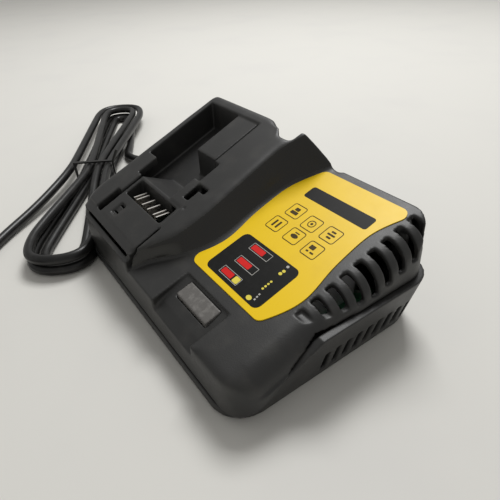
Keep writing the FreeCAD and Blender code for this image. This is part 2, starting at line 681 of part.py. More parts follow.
def transformer():
    """Ferrite core, the bobbin on its middle post, and the winding on the bobbin."""
    x0, y0 = CORE_PLACE
    x1 = x0 + CORE_WIDTH
    y1 = y0 + CORE_DEPTH
    z0 = BOARD_TOP + (WINDING_DEPTH - CORE_DEPTH) / 4
    z1 = z0 + CORE_HEIGHT
    middle = (x0 + x1) / 2
    half_post = CORE_POST / 2
    core = box(x0, x1, y0, y1, z0, z1)
    for a, b in ((x0 + CORE_LIMB, middle - half_post), (middle + half_post, x1 - CORE_LIMB)):
        core = core.cut(box(a, b, y0, y1, z0 + CORE_LIMB, z1 - CORE_LIMB))
    low = z0 + CORE_LIMB + FIT / 3
    high = z1 - CORE_LIMB - FIT / 3
    slack = FIT / 3
    post = box(middle - half_post - slack, middle + half_post + slack, y0 - slack, y1 + slack, low, high)
    wall = half_post + slack + BOBBIN_WALL
    sleeve = box(middle - wall, middle + wall, y0 - slack - BOBBIN_WALL, y1 + slack + BOBBIN_WALL, low, high)
    out_x = (x1 - x0) / 2 - CORE_LIMB - slack
    out_y = WINDING_DEPTH / 2
    mid_y = (y0 + y1) / 2
    flange = box(middle - out_x, middle + out_x, mid_y - out_y, mid_y + out_y, low, low + BOBBIN_WALL)
    top_flange = flange.copy()
    top_flange.translate(V(0, 0, high - low - BOBBIN_WALL))
    legs = []
    for sy in (-1, 1):
        y = mid_y + sy * (out_y - 1)
        legs.append(box(middle - out_x, middle + out_x, y - 1, y + 1, BOARD_TOP, low))
    bobbin = sleeve.multiFuse([flange, top_flange] + legs).cut(post).removeSplitter()
    full = box(middle - out_x, middle + out_x, mid_y - out_y, mid_y + out_y,
               low + BOBBIN_WALL, high - BOBBIN_WALL)
    return core, bobbin, full.cut(sleeve)


def output_capacitors():
    x, back = OUTPUT_CAP_PLACE
    return [rod(OUTPUT_CAP_RADIUS, OUTPUT_CAP_LENGTH, V(x + i * OUTPUT_CAP_PITCH, FRONT + back, BOARD_TOP))
            for i in range(2)]


def input_capacitor():
    x, back = INPUT_CAP_PLACE
    return rod(INPUT_CAP_RADIUS, INPUT_CAP_LENGTH, V(x, FRONT + back, BOARD_TOP))


def choke():
    base = V(CHOKE_PLACE[0], CHOKE_PLACE[1], BOARD_TOP)
    return rod(CHOKE_RADIUS, CHOKE_HEIGHT, base).cut(rod(CHOKE_BORE_RADIUS, CHOKE_HEIGHT, base))


def fuse():
    x, y = FUSE_PLACE
    body = rod(FUSE_RADIUS, FUSE_LENGTH, V(x, y, BOARD_TOP + FUSE_RADIUS + FIT), V(0, 1, 0))
    clips = []
    for y0 in (y, y + FUSE_LENGTH - FUSE_CAP):
        clips.append(box(x - FUSE_RADIUS, x + FUSE_RADIUS, y0, y0 + FUSE_CAP,
                         BOARD_TOP, BOARD_TOP + FUSE_RADIUS))
    return body, [clip.cut(body) for clip in clips]


def heat_sink():
    x, y = SINK_PLACE
    return box(x, x + SINK_THICKNESS, y, y + SINK_LENGTH, BOARD_TOP, BOARD_TOP + SINK_HEIGHT)


def power_device():
    x = SINK_PLACE[0]
    y = SINK_PLACE[1] + SINK_LENGTH - 2 * DEVICE_WIDTH
    return box(x - DEVICE_THICKNESS, x, y, y + DEVICE_WIDTH, BOARD_TOP, BOARD_TOP + DEVICE_HEIGHT)


def status_leds():
    x0, y0 = led_middle()
    top = label_z(y0 - LED_RADIUS, LENS_RECESS + LENS_THICKNESS + FIT)
    return [rod(LED_RADIUS, top - BOARD_TOP, V(x0 + (i - (LED_COUNT - 1) / 2) * LED_PITCH, y0, BOARD_TOP))
            for i in range(LED_COUNT)]


def housing_screws():
    screws = []
    z0 = FOOT_LIFT + SCREW_HEAD_RECESS
    for x, y in screw_places():
        head = rod(SCREW_HEAD_RADIUS, SCREW_HEAD_HEIGHT, V(x, y, z0))
        screws.append(head.fuse(rod(SCREW_RADIUS, SCREW_LENGTH - SCREW_HEAD_HEIGHT, V(x, y, z0))))
    return screws


def rubber_feet():
    return [rod(FOOT_RADIUS, FOOT_THICKNESS, V(x, y, 0)) for x, y in foot_places()]


# Mains inlet
INLET_Y = REAR - INLET_BACK
RELIEF_X = LEFT + RELIEF_INSET
COLLAR_X = RELIEF_X + RELIEF_NECK


def strain_relief():
    sleeve = Part.makeCone(RELIEF_RADIUS, RELIEF_TIP_RADIUS, RELIEF_LENGTH,
                           V(RELIEF_X, INLET_Y, INLET_HEIGHT), V(-1, 0, 0))
    neck = inlet_hole(RELIEF_COLLAR - RELIEF_GROOVE, RELIEF_X, COLLAR_X)
    collar = inlet_hole(RELIEF_COLLAR, COLLAR_X, COLLAR_X + RELIEF_FLANGE)
    return sleeve.multiFuse([neck, collar]).removeSplitter()


def inner_cord():
    return inlet_hole(CORD_RADIUS, COLLAR_X + RELIEF_FLANGE, -BOARD_WIDTH / 2)


def cord_saddle():
    x0 = COLLAR_X + RELIEF_FLANGE + SADDLE_GAP
    block = box(x0, x0 + SADDLE_LENGTH, INLET_Y - SADDLE_WIDTH / 2, INLET_Y + SADDLE_WIDTH / 2,
                FOOT_LIFT + FLOOR_THICKNESS, INLET_HEIGHT)
    return block.cut(inlet_hole(CORD_RADIUS, x0, x0 + SADDLE_LENGTH))


def mains_block():
    x0 = -BOARD_WIDTH / 2
    return box(x0, x0 + BLOCK_LENGTH, INLET_Y - BLOCK_WIDTH / 2, INLET_Y + BLOCK_WIDTH / 2,
               BOARD_TOP, BOARD_TOP + BLOCK_HEIGHT)


# Cord routes
def arc_edge(start, tangent, end):
    """Arc that leaves start along tangent and ends at end, or a line where they are in line."""
    chord = end - start
    across = chord - tangent * chord.dot(tangent)
    if across.Length < 1e-4:
        return Part.LineSegment(start, end).toShape()
    side = V(across).normalize()
    radius = chord.Length ** 2 / (2 * side.dot(chord))
    centre = start + side * radius
    out = (start + end) * 0.5 - centre
    sign = 1 if chord.dot(tangent) > 0 else -1
    middle = centre + V(out).normalize() * radius * sign
    return Part.Arc(start, middle, end).toShape()


def biarc(start, tangent, end, end_tangent):
    """Two tangent arcs between two places with given directions."""
    v = end - start
    both = tangent + end_tangent
    reach = v.dot(both)
    spread = 2 * (1 - tangent.dot(end_tangent))
    if spread < 1e-6:
        d = v.dot(v) / (2 * reach)
    else:
        d = (-reach + math.sqrt(reach ** 2 + 2 * spread * v.dot(v) / 2)) / spread
    joint = (start + end + (tangent - end_tangent) * d) * 0.5
    first = arc_edge(start, tangent, joint)
    second = arc_edge(end, end_tangent * -1, joint)
    return [first, reverse_edge(second)]


def reverse_edge(edge):
    """The same line or arc, run the other way."""
    a, b = edge.FirstParameter, edge.LastParameter
    start, middle, end = edge.valueAt(a), edge.valueAt((a + b) / 2), edge.valueAt(b)
    if abs((end - start).Length - edge.Length) < 1e-6:
        return Part.LineSegment(end, start).toShape()
    return Part.Arc(end, middle, start).toShape()


def sweep(edges, start, tangent, radius):
    ring = Part.Wire(Part.makeCircle(radius, start, tangent))
    pipe = Part.BRepOffsetAPI.MakePipeShell(Part.Wire(edges))
    pipe.add(ring)
    pipe.build()
    pipe.makeSolid()
    return pipe.shape()


def bent_tube(name, points, radius):
    """Straight runs joined by tangent arcs, each as large as its two runs allow."""
    edges = []
    last = points[0]
    radii = []
    for before, here, after in zip(points, points[1:], points[2:]):
        way_in = V(here - before).normalize()
        way_out = V(after - here).normalize()
        turn = way_in.getAngle(way_out)
        cut_back = 0.45 * min((here - before).Length, (after - here).Length)
        radii.append(cut_back / math.tan(turn / 2))
        first = here - way_in * cut_back
        edges.append(Part.LineSegment(last, first).toShape())
        last = here + way_out * cut_back
        edges.append(arc_edge(first, way_in, last))
    edges.append(Part.LineSegment(last, points[-1]).toShape())
    solid = sweep(edges, points[0], points[1] - points[0], radius)
    length = sum(e.Length for e in edges)
    print(name, "length", round(length, 1), "radii", [round(r, 1) for r in radii],
          "volume ratio", round(solid.Volume / (math.pi * radius ** 2 * length), 4))
    return solid


HANK_ALONG = V(math.cos(math.radians(HANK_TURN_DEG)), math.sin(math.radians(HANK_TURN_DEG)), 0)
HANK_ACROSS = V(HANK_ALONG.y, -HANK_ALONG.x, 0)
LOW = CORD_RADIUS + CORD_FLOOR_GAP
LAYER = CORD_DIAMETER + HANK_STRAND_GAP
WAIST_LIFT = TIE_THICKNESS + TIE_GAP - CORD_FLOOR_GAP
HANK_OUTER_HALF = HANK_INNER_HALF + 2 * HANK_LOOP_STEP
HANK_MIDDLE_HALF = HANK_INNER_HALF + HANK_LOOP_STEP
HANK_FAR_NARROWING = HANK_INNER_HALF - HANK_FAR_INNER_HALF


def hank_point(along, across, z):
    """A place in the hank's own directions, with the wider side towards the rear."""
    return V(HANK_NEAR_X, HANK_NEAR_Y, 0) + HANK_ALONG * along + HANK_ACROSS * across + V(0, 0, z)


def hank_way(along, across):
    return V(HANK_ALONG * along + HANK_ACROSS * across).normalize()


def hank_stations():
    """Places and directions along the hank: three and a half long loops drawn in at the tie."""
    slim = HANK_FAR_NARROWING
    far = HANK_LENGTH - HANK_OUTER_HALF + slim
    near = HANK_OUTER_HALF - HANK_OVERHANG
    inner = LAYER / 2
    outer = 1.5 * LAYER
    high = LOW + LAYER
    stations = [(HANK_START, HANK_MIDDLE_HALF, LOW, 1, 0)]
    loops = [(HANK_MIDDLE_HALF, outer, LOW, LOW, outer),
             (HANK_INNER_HALF, inner, LOW, high, inner),
             (HANK_MIDDLE_HALF, inner, high, high, outer)]
    for half, waist, z, waist_z, waist_back in loops:
        tip = half - slim
        stations += [(far, tip, z, 1, 0), (far + tip, 0, z, 0, -1), (far, -tip, z, -1, 0),
                     (HANK_WAIST, -waist, z + WAIST_LIFT, -1, 0),
                     (near, -half, z, -1, 0), (near - half, 0, z, 0, 1), (near, half, z, 1, 0),
                     (HANK_WAIST, waist_back, waist_z + WAIST_LIFT, 1, 0)]
    tip = HANK_OUTER_HALF - slim
    stations += [(far, tip, high, 1, 0), (far + tip, 0, high, 0, -1), (far, -tip, high, -1, 0),
                 (HANK_END, -HANK_END_SIDE, high, -1, 0)]
    return stations


def cord_hank():
    stations = hank_stations()
    edges = []
    for here, after in zip(stations, stations[1:]):
        edges += biarc(hank_point(*here[:3]), hank_way(*here[3:]), hank_point(*after[:3]), hank_way(*after[3:]))
    lead = CORD_DIAMETER
    start = hank_point(*stations[0][:3])
    end = hank_point(*stations[-1][:3])
    edges.insert(0, Part.LineSegment(start - HANK_ALONG * lead, start).toShape())
    edges.append(Part.LineSegment(end, end - HANK_ALONG * lead).toShape())
    solid = sweep(edges, start - HANK_ALONG * lead, HANK_ALONG, CORD_RADIUS)
    length = sum(e.Length for e in edges)
    print("cord_hank length", round(length, 1), "least gap to itself", round(least_gap(edges), 2),
          "volume ratio", round(solid.Volume / (math.pi * CORD_RADIUS ** 2 * length), 4))
    return solid


def least_gap(edges):
    """Least gap of the cord to itself, measured between points 3 mm apart along it."""
    step = 3.0
    skip = int(7 * CORD_DIAMETER / step)
    points = []
    for edge in edges:
        count = max(1, round(edge.Length / step))
        for i in range(count):
            share = (i + 0.5) / count
            points.append(edge.valueAt(edge.FirstParameter * (1 - share) + edge.LastParameter * share))
    best = TALL
    for i, a in enumerate(points):
        for b in points[i + skip:]:
            best = min(best, a.distanceToPoint(b))
    return best - CORD_DIAMETER


HANK_ENTRY = hank_point(HANK_START - CORD_DIAMETER, HANK_MIDDLE_HALF, LOW)
HANK_EXIT = hank_point(HANK_END - CORD_DIAMETER, -HANK_END_SIDE, LOW + LAYER)


def lead_in_points():
    tip = V(RELIEF_X - RELIEF_LENGTH, INLET_Y, INLET_HEIGHT)
    return [tip, tip + V(-13, 0, 0), tip + V(-30, -4, -4.6), HANK_ENTRY - HANK_ALONG * 15.0, HANK_ENTRY]


def tail_points():
    z = LOW + LAYER
    places = [(92, -16.2, z), (72, -20.5, z - 1.6), (50, -28, z - 4.4), (28, -36.5, LOW),
              (4, -42, LOW), (-18, -43, LOW)]
    return [HANK_EXIT] + [hank_point(*p) for p in places]


def hank_tie():
    """Flat wire tie round the strands at the waist."""
    half = 1.5 * LAYER + CORD_RADIUS + TIE_GAP
    low = TIE_THICKNESS + CORD_FLOOR_GAP / 2
    high = LOW + LAYER + WAIST_LIFT + CORD_RADIUS + TIE_GAP
    outer = box(-TIE_WIDTH / 2, TIE_WIDTH / 2, -half - TIE_THICKNESS, half + TIE_THICKNESS,
                low - TIE_THICKNESS, high + TIE_THICKNESS)
    band = outer.cut(box(-TIE_WIDTH, TIE_WIDTH, -half, half, low, high))
    twist = rod(TIE_THICKNESS, 9, V(0, -half - TIE_THICKNESS / 2, high), V(0, -0.5, 1))
    tie = band.fuse(twist.cut(box(-5, 5, -half, half, 0, high)))
    tie.rotate(V(0, 0, 0), V(0, 0, 1), HANK_TURN_DEG)
    tie.translate(hank_point(HANK_WAIST, 0, 0))
    return tie


# Plug, laid along the end of the tail
def plug_frame(shape):
    """Turn and move a shape drawn along +X from the cord's end to where the plug lies."""
    points = tail_points()
    way = points[-1] - points[-2]
    shape.rotate(V(0, 0, 0), V(0, 0, 1), math.degrees(math.atan2(way.y, way.x)))
    shape.translate(V(points[-1].x, points[-1].y, 0))
    return shape


PLUG_MID = PLUG_HEIGHT / 2 + CORD_FLOOR_GAP


def plug_neck():
    """Tapered sleeve where the cord enters the plug."""
    ends = [(RELIEF_TIP_RADIUS - 0.8, 0, LOW), (PLUG_NECK_RADIUS, PLUG_NECK_LENGTH, PLUG_MID)]
    rings = [Part.Wire(Part.makeCircle(radius, V(x, 0, z), V(1, 0, 0))) for radius, x, z in ends]
    return plug_frame(Part.makeLoft(rings, True, True))


def plug_body():
    outline = round_outline(PLUG_LENGTH / 2, PLUG_WIDTH / 2, PLUG_CORNER, CORD_FLOOR_GAP)
    body = Part.Face(outline).extrude(V(0, 0, PLUG_HEIGHT))
    body.translate(V(PLUG_NECK_LENGTH + PLUG_LENGTH / 2, 0, 0))
    return plug_frame(body.cut(Part.makeCompound(plug_prong_shapes())))


def plug_prong_shapes():
    x0 = PLUG_NECK_LENGTH + PLUG_LENGTH
    half = PRONG_SPACING / 2
    low = PLUG_MID - PRONG_WIDTH / 2
    return [box(x0 - PRONG_ROOT, x0 + PRONG_LENGTH, y - PRONG_THICKNESS / 2, y + PRONG_THICKNESS / 2,
                low, low + PRONG_WIDTH) for y in (-half, half)]


def plug_prongs():
    return [plug_frame(shape) for shape in plug_prong_shapes()]


PARTS = {}


def keep(name, shapes):
    solids = [s for shape in shapes for s in shape.Solids]
    PARTS[name] = solids[0] if len(solids) == 1 else Part.makeCompound(solids)
    shape = PARTS[name]
    print(name, "solids", len(solids), "valid", shape.isValid(), "volume", round(shape.Volume, 1))


core, bobbin, winding = transformer()
fuse_body, fuse_clips = fuse()
keep("lower_housing", [lower_housing()])
keep("upper_housing", [upper_housing()])
keep("label_sheet", [label_sheet()])
keep("status_lens", [status_lens()])
keep("terminal_carrier", [terminal_carrier()])
keep("terminal_blades", terminal_blades())
keep("circuit_board", [circuit_board()])
keep("board_screws", board_screws())
keep("transformer_core", [core])
keep("transformer_bobbin", [bobbin])
keep("transformer_winding", [winding])
keep("input_capacitor", [input_capacitor()])
keep("output_capacitors", output_capacitors())
keep("line_choke", [choke()])
keep("fuse", [fuse_body])
keep("fuse_clips", fuse_clips)
keep("heat_sink", [heat_sink()])
keep("power_device", [power_device()])
keep("status_leds", status_leds())
keep("mains_block", [mains_block()])
keep("housing_screws", housing_screws())
keep("rubber_feet", rubber_feet())
keep("strain_relief", [strain_relief()])
keep("inner_cord", [inner_cord()])
keep("cord_saddle", [cord_saddle()])
keep("cord_lead_in", [bent_tube("cord_lead_in", lead_in_points(), CORD_RADIUS)])
keep("cord_hank", [cord_hank()])
keep("cord_tail", [bent_tube("cord_tail", tail_points(), CORD_RADIUS)])
keep("hank_tie", [hank_tie()])
keep("plug_neck", [plug_neck()])
keep("plug_body", [plug_body()])
keep("plug_prongs", plug_prongs())

os.makedirs("parts", exist_ok=True)
for name, shape in PARTS.items():
    shape.exportStep("parts/" + name + ".step")
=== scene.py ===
import math

import bmesh
import bpy
from mathutils import Matrix, Vector


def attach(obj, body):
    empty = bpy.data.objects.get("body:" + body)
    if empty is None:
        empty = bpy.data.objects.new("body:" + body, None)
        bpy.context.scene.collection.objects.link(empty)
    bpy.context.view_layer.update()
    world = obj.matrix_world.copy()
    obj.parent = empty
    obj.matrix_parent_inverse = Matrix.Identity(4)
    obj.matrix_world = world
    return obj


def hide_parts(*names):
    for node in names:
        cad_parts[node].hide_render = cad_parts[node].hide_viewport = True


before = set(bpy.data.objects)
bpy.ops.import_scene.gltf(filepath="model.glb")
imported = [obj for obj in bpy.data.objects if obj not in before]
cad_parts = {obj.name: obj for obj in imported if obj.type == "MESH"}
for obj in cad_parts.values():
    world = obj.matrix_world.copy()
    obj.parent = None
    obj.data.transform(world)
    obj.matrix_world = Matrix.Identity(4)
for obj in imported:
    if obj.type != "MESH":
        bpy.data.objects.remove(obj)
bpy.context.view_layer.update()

# Power tool battery charger. Sizes and places are in millimetres, with X to the right, Y to the
# rear and Z up from the surface that the charger stands on. Blender's own unit is the metre.
MM = 0.001
WELD_DISTANCE = 2e-6

# Camera: the photograph's frame and focal length in pixels, then its place and angles in degrees
PHOTO_SIZE = 500
FOCAL_PIXELS = 440.7
CAMERA_PLACE = (137.7, -85.2, 132.7)
CAMERA_TURN = 55.54
CAMERA_TILT = 35.93
CAMERA_ROLL = -2.43
SENSOR = 36.0
CLOSEST_SEEN = 10.0

# Studio, in metres
WORLD_COLOR = (0.80, 0.79, 0.77, 1)
WORLD_LIGHT = 0.5
LAMP_PLACE = (-0.40, 0.45, 1.0)
LAMP_SIZE = 0.45
LAMP_ENERGY = 9.5
FLOOR_HALF = 3

# Finishes: the noise at which each film (dust, print grain, and on the polished wall a painted reflection)
# starts and is full, and how detailed each noise is
FILM_STARTS = 0.45
FILM_FULL = 0.75
DUST_AND_REFLECTION_DETAIL = 6.0
GLOSS_DETAIL = 4.0
GRAIN_DETAIL = 3.0

# Sloping planes of the top: height at the middle of the depth, and rise per millimetre
LABEL_HEIGHT = 34.2
LABEL_SLOPE = 0.30
DOCK_HEIGHT = 47.0
DOCK_SLOPE = 0.43

# Rounding of the mouldings: how fine their meshes are, and how often they are smoothed
FINE_VOXEL = 0.5
TRAY_VOXEL = 0.55
LENS_VOXEL = 0.4
PASS_FACTOR = 0.5
EDGE_PASSES = 3
LENS_PASSES = 8
PLUG_PASSES = 12
RIM_PASSES = 180

# Stretch of the top that keeps its detail, and how the softness grows beyond it and below it
DETAIL_LEFT = -64.0
DETAIL_RIGHT = -7.5
DETAIL_FRONT = -40.5
DETAIL_REAR = 34.0
VENTS_LEFT = 20.0
BLEND = 2.0
RIM_LOWEST = 27.0
UNDER_LABEL = -4.0
OVER_LABEL = 1.0

# Front edge to the right of the scoop
SCOOP_RIGHT = 44.0
FRONT_EDGE_REAR = -36.5
FRONT_EDGE_BLEND = 3.0
FRONT_EDGE_LOW = 13.0
FRONT_EDGE_HIGH = 16.0

# Polished right wall of the dock, drawn in a darker, browner copy of the black plastic as painted shade and a
# painted reflection of the yellow label
WALL_LEFT = -9.0
WALL_MARGIN = 1.2
WALL_FACING = 0.25

# Label sheet, the ink on it, and the least corner of an outline's inner edge
LABEL_THICKNESS = 0.4
INK = 0.05
LEAST_CORNER = 0.1

# Black panel and black strip: middle, width, height and corner
PANEL = (31.4, -12.2, 33.2, 20.6, 2.6)
BLACK_STRIP = (34.2, 28.8, 34.0, 6.4, 1.2)

# Three boxes on the panel: middle, width and height; and the bars in them
STATUS_BOXES = ((28.1, -5.1, 11.4, 3.5), (28.9, -12.4, 11.6, 3.5), (27.9, -19.2, 11.4, 3.5))
BOX_ROUND = 0.3
BOX_LINE = 0.2
BAR_LENGTHS = (7.2, 7.4, 6.4)
BAR_MARGIN = 0.7
BAR_NARROWER = 1.1
BAR_ROUND = 0.5
BAR_END = (3.0, 2.7, 0.6)
BAR_END_BACK = 1.9

# Small marks along the panel's right side; a disc has its middle and two radii
YELLOW_DISCS = ((41.8, -20.8, 1.3, 0.95), (42.3, -7.0, 0.8, 0.65), (42.5, -5.5, 0.75, 0.6))
MARK_START = (42.6, -15.2)
MARK_STEP = 1.28
MARK_RADII = (0.5, 0.45)
MARK_COUNT = 4
WHITE_DISC = (42.1, -3.3, 0.65, 0.55)
DOT_START = (44.1, -19.9)
DOT_STEP = (-0.2, 1.2)
DOT_SIZE = (0.7, 0.7, 0.15)
DOT_COUNT = 3

# Outlined squares, and in each some rounded bars: offset, width, height and corner
SQUARE_WIDTH = 7.5
SQUARE_HEIGHT = 0.94 * SQUARE_WIDTH
SQUARE_ROUND = 1.2
SQUARE_LINE = 0.36
SQUARES = (((22.1, 17.6), ((0, -1, 3.8, 1.6, 0.3), (0, 1, 2.4, 1.6, 0.3))),
           ((32.8, 16.4), ()),
           ((21.0, 8.4), ((-1.1, 0, 1.0, 3.6, 0.3), (1.1, 0, 1.0, 3.6, 0.3))),
           ((32.1, 8.1), ((0, 1.7, 2.4, 0.5, 0.2),)),
           ((43.1, 16.7), ((0, 0, 3.8, 0.8, 0.3), (0, 1.5, 2.2, 0.8, 0.3), (0, -1.5, 2.2, 0.8, 0.3))),
           ((43.0, 7.5), ((-0.8, 0.9, 2.6, 1.9, 0.3), (0.9, -1.3, 1.8, 0.7, 0.2),
                          (-1.4, -1.3, 1.2, 0.7, 0.2))))
TARGET_RING = (3.6, 3.4, 1.6, 0.4)
TARGET_DOT = (0.6, 0.6)
POT = (1.8, 1.0)

# Mains cord: how it leaves the charger, and the plug's place along and across the hank
CORD_DIAMETER = 5.2
RELIEF_TIP = Vector((-96.4, 24.5, 13.0))
LEAD_IN = (Vector((-13, 0, 0)), Vector((-30, -4, -4.6)))
ENTRY_RUN = 15.0
LOW = 2.8
LAYER = 6.0
HIGH = LOW + LAYER
PLUG_APPROACH = (4, -42, LOW)
PLUG_START = (-18, -43, LOW)
TAIL = ((112, -16, HIGH), (92, -16.2, HIGH), (72, -20.5, HIGH - 1.6), (50, -28, HIGH - 4.4),
        (28, -36.5, LOW), PLUG_APPROACH, PLUG_START)

# Hank: its near end and direction, its waist, and half the width of its loops at the near end
HANK_NEAR = Vector((-63.0, -62.0, 0.0))
HANK_TURN = math.radians(149.1)
HANK_LENGTH = 218.0
HANK_OVERHANG = 16.0
HANK_START = 140.0
HANK_WAIST = 92.0
WAIST_REACH = 12.0
WAIST_LIFT = 1.2
INNER_WAIST = LAYER / 2
OUTER_WAIST = 1.5 * LAYER
INNER_HALF = 9.6
FAR_INNER_HALF = 5.0
LOOP_STEP = 6.4
MIDDLE_HALF = INNER_HALF + LOOP_STEP
OUTER_HALF = INNER_HALF + 2 * LOOP_STEP
NARROWING = INNER_HALF - FAR_INNER_HALF
FAR_MIDDLE = HANK_LENGTH - OUTER_HALF + NARROWING
NEAR_MIDDLE = OUTER_HALF - HANK_OVERHANG
HANK_ALONG = Vector((math.cos(HANK_TURN), math.sin(HANK_TURN), 0))
HANK_ACROSS = Vector((HANK_ALONG.y, -HANK_ALONG.x, 0))

# Each loop: half its width, its way through the waist and its height, then its way back
LOOPS = ((MIDDLE_HALF, OUTER_WAIST, LOW, OUTER_WAIST, LOW),
         (INNER_HALF, INNER_WAIST, LOW, INNER_WAIST, HIGH),
         (MIDDLE_HALF, INNER_WAIST, HIGH, OUTER_WAIST, HIGH))

# One end of a loop, along and across in shares of half its width
TURN_SHAPE = ((-0.9, 0.99), (0.0, 0.99), (0.66, 0.83), (0.96, 0.36),
              (0.96, -0.36), (0.66, -0.83), (0.0, -0.99), (-0.9, -0.99))

# Grip grooves on the plug
GROOVE_COUNT = 5
GROOVE_DEPTH = 0.5
GROOVES_START = 28.0
GROOVES_LENGTH = 20.0
FLAT_SIDE = 0.5714

# Ribbed sleeve of the strain relief; each rib's shape is a share of its length and of the groove
SLEEVE_LENGTH = 26.0
SLEEVE_RIBS = 7
SLEEVE_ROOT_RADIUS = 4.6
SLEEVE_END_RADIUS = 3.5
SLEEVE_GROOVE = 0.7
RIB_SHAPE = ((0.0, 0.0), (0.52, 0.0), (0.6, 1.0), (0.92, 1.0))
SHANK_END = -60.0
SHANK_RADIUS = 3.7
SLEEVE_SIDES = 32


def label_z(y, lift=0.0):
    return LABEL_HEIGHT + LABEL_SLOPE * y + lift


def dock_z(y):
    return DOCK_HEIGHT + DOCK_SLOPE * y


# Shader values and finishes
class Shade:
    """A shader socket that takes part in sums and products."""

    def __init__(self, tree, socket):
        self.tree = tree
        self.socket = socket

    def reckon(self, operation, first, second):
        node = self.tree.nodes.new("ShaderNodeMath")
        node.operation = operation
        for place, value in enumerate((first, second)):
            if isinstance(value, Shade):
                self.tree.links.new(value.socket, node.inputs[place])
            else:
                node.inputs[place].default_value = value
        return Shade(self.tree, node.outputs[0])

    def __add__(self, other):
        return self.reckon("ADD", self, other)

    def __radd__(self, other):
        return self.reckon("ADD", other, self)

    def __mul__(self, other):
        return self.reckon("MULTIPLY", self, other)

    def __rmul__(self, other):
        return self.reckon("MULTIPLY", other, self)


class Finish:
    """A material: its constants sit on the shader, and what varies is fed from nodes."""

    def __init__(self, name, color, roughness, **constants):
        self.material = bpy.data.materials.new(name)
        self.material.use_nodes = True
        self.tree = self.material.node_tree
        self.shader = self.tree.nodes["Principled BSDF"]
        self.shader.inputs["Base Color"].default_value = (*color, 1)
        self.shader.inputs["Roughness"].default_value = roughness
        for key, value in constants.items():
            self.shader.inputs[key.replace("_", " ")].default_value = value
        self.color = color
        self.roughness = roughness
        self.place = self.node("ShaderNodeTexCoord", out="Object")

    def node(self, kind, settings=None, out=0, **inputs):
        """Any node: its settings first, then its sockets by name, or by number as in i0 or i6."""
        node = self.tree.nodes.new(kind)
        for key, value in (settings or {}).items():
            setattr(node, key, value)
        for key, value in inputs.items():
            name = int(key[1:]) if key[1:].isdigit() else key.replace("_", " ")
            socket = node.inputs[name]
            if isinstance(value, Shade):
                self.tree.links.new(value.socket, socket)
            else:
                socket.default_value = value
        return Shade(self.tree, node.outputs[out])

    def noise(self, scale, detail):
        return self.node("ShaderNodeTexNoise", out="Fac", Vector=self.place, Scale=scale, Detail=detail)

    def band(self, value, low, high):
        """0 below low, 1 above high, smooth between."""
        return self.node("ShaderNodeMapRange", {"interpolation_type": "SMOOTHSTEP"}, out="Result",
                         Value=value, From_Min=low, From_Max=high)

    def blend(self, factor, first, second):
        return self.node("ShaderNodeMix", {"data_type": "RGBA"}, out=2, i0=factor, i6=first, i7=second)

    def feed(self, socket, value):
        self.tree.links.new(value.socket, self.shader.inputs[socket])

    def dust_and_painted_reflection(self, color, amount, scale=120.0):
        """A thin uneven film of dust or print grain over the colour; on the polished wall it is a painted
        reflection of the yellow label.
        """
        film = self.band(self.noise(scale, DUST_AND_REFLECTION_DETAIL), FILM_STARTS, FILM_FULL) * amount
        self.feed("Base Color", self.blend(film, (*self.color, 1), (*color, 1)))

    def uneven_gloss(self, spread, scale=160.0):
        self.feed("Roughness", self.noise(scale, GLOSS_DETAIL) * spread + (self.roughness - spread / 2))

    def grain(self, scale, strength, distance):
        """Fine texture of the surface as a bump."""
        bump = self.node("ShaderNodeBump", out="Normal", Strength=strength, Distance=distance,
                         Height=self.noise(scale, GRAIN_DETAIL))
        self.feed("Normal", bump)


def spark_plastic():
    finish = Finish("spark_textured_plastic", (0.017, 0.017, 0.0165), 0.46, Specular_IOR_Level=0.5)
    finish.dust_and_painted_reflection((0.05, 0.048, 0.043), 0.35)
    finish.uneven_gloss(0.12)
    finish.grain(2600.0, 0.35, 0.00012)
    return finish.material


def polished_plastic_painted_shade():
    # Darker, browner copy of the black plastic: painted shade on this right-facing wall and a painted
    # reflection of the yellow label; the low roughness is the wall's real polish
    finish = Finish("polished_wall_painted_shade_and_reflection", (0.009, 0.0085, 0.0065), 0.16)
    # Yellow-brown film: painted reflection of the yellow label on the polished wall
    finish.dust_and_painted_reflection((0.02, 0.017, 0.008), 0.2, 60.0)
    finish.uneven_gloss(0.1)
    finish.grain(700.0, 0.08, 0.0001)
    return finish.material


def yellow_film():
    finish = Finish("yellow_label_film", (0.90, 0.60, 0.002), 0.40, Specular_IOR_Level=0.3)
    finish.dust_and_painted_reflection((0.80, 0.52, 0.002), 0.5, 90.0)
    finish.uneven_gloss(0.1)
    finish.grain(1500.0, 0.12, 0.00008)
    return finish.material


def ink(name, color):
    """Printing ink, with a faint lighter grain."""
    finish = Finish(name, color, 0.46, Specular_IOR_Level=0.12)
    finish.dust_and_painted_reflection(tuple(c * 1.25 + 0.004 for c in color), 0.5, 400.0)
    finish.grain(1500.0, 0.1, 0.00005)
    return finish.material


def lens_plastic():
    finish = Finish("smoky_lens", (0.15, 0.143, 0.135), 0.26, Transmission_Weight=0.15, IOR=1.49)
    finish.dust_and_painted_reflection((0.28, 0.27, 0.255), 0.7, 420.0)
    finish.uneven_gloss(0.12)
    finish.grain(900.0, 0.2, 0.0001)
    return finish.material


def contact_metal():
    finish = Finish("plated_contact", (0.88, 0.85, 0.80), 0.3, Metallic=1.0)
    finish.dust_and_painted_reflection((0.55, 0.48, 0.38), 0.4, 900.0)
    finish.uneven_gloss(0.2, 900.0)
    finish.grain(2500.0, 0.15, 0.00005)
    return finish.material


def cord_jacket():
    finish = Finish("cord_jacket", (0.008, 0.008, 0.0078), 0.34, Specular_IOR_Level=0.4)
    finish.dust_and_painted_reflection((0.035, 0.033, 0.03), 0.4, 180.0)
    finish.uneven_gloss(0.14)
    finish.grain(1800.0, 0.2, 0.0001)
    return finish.material


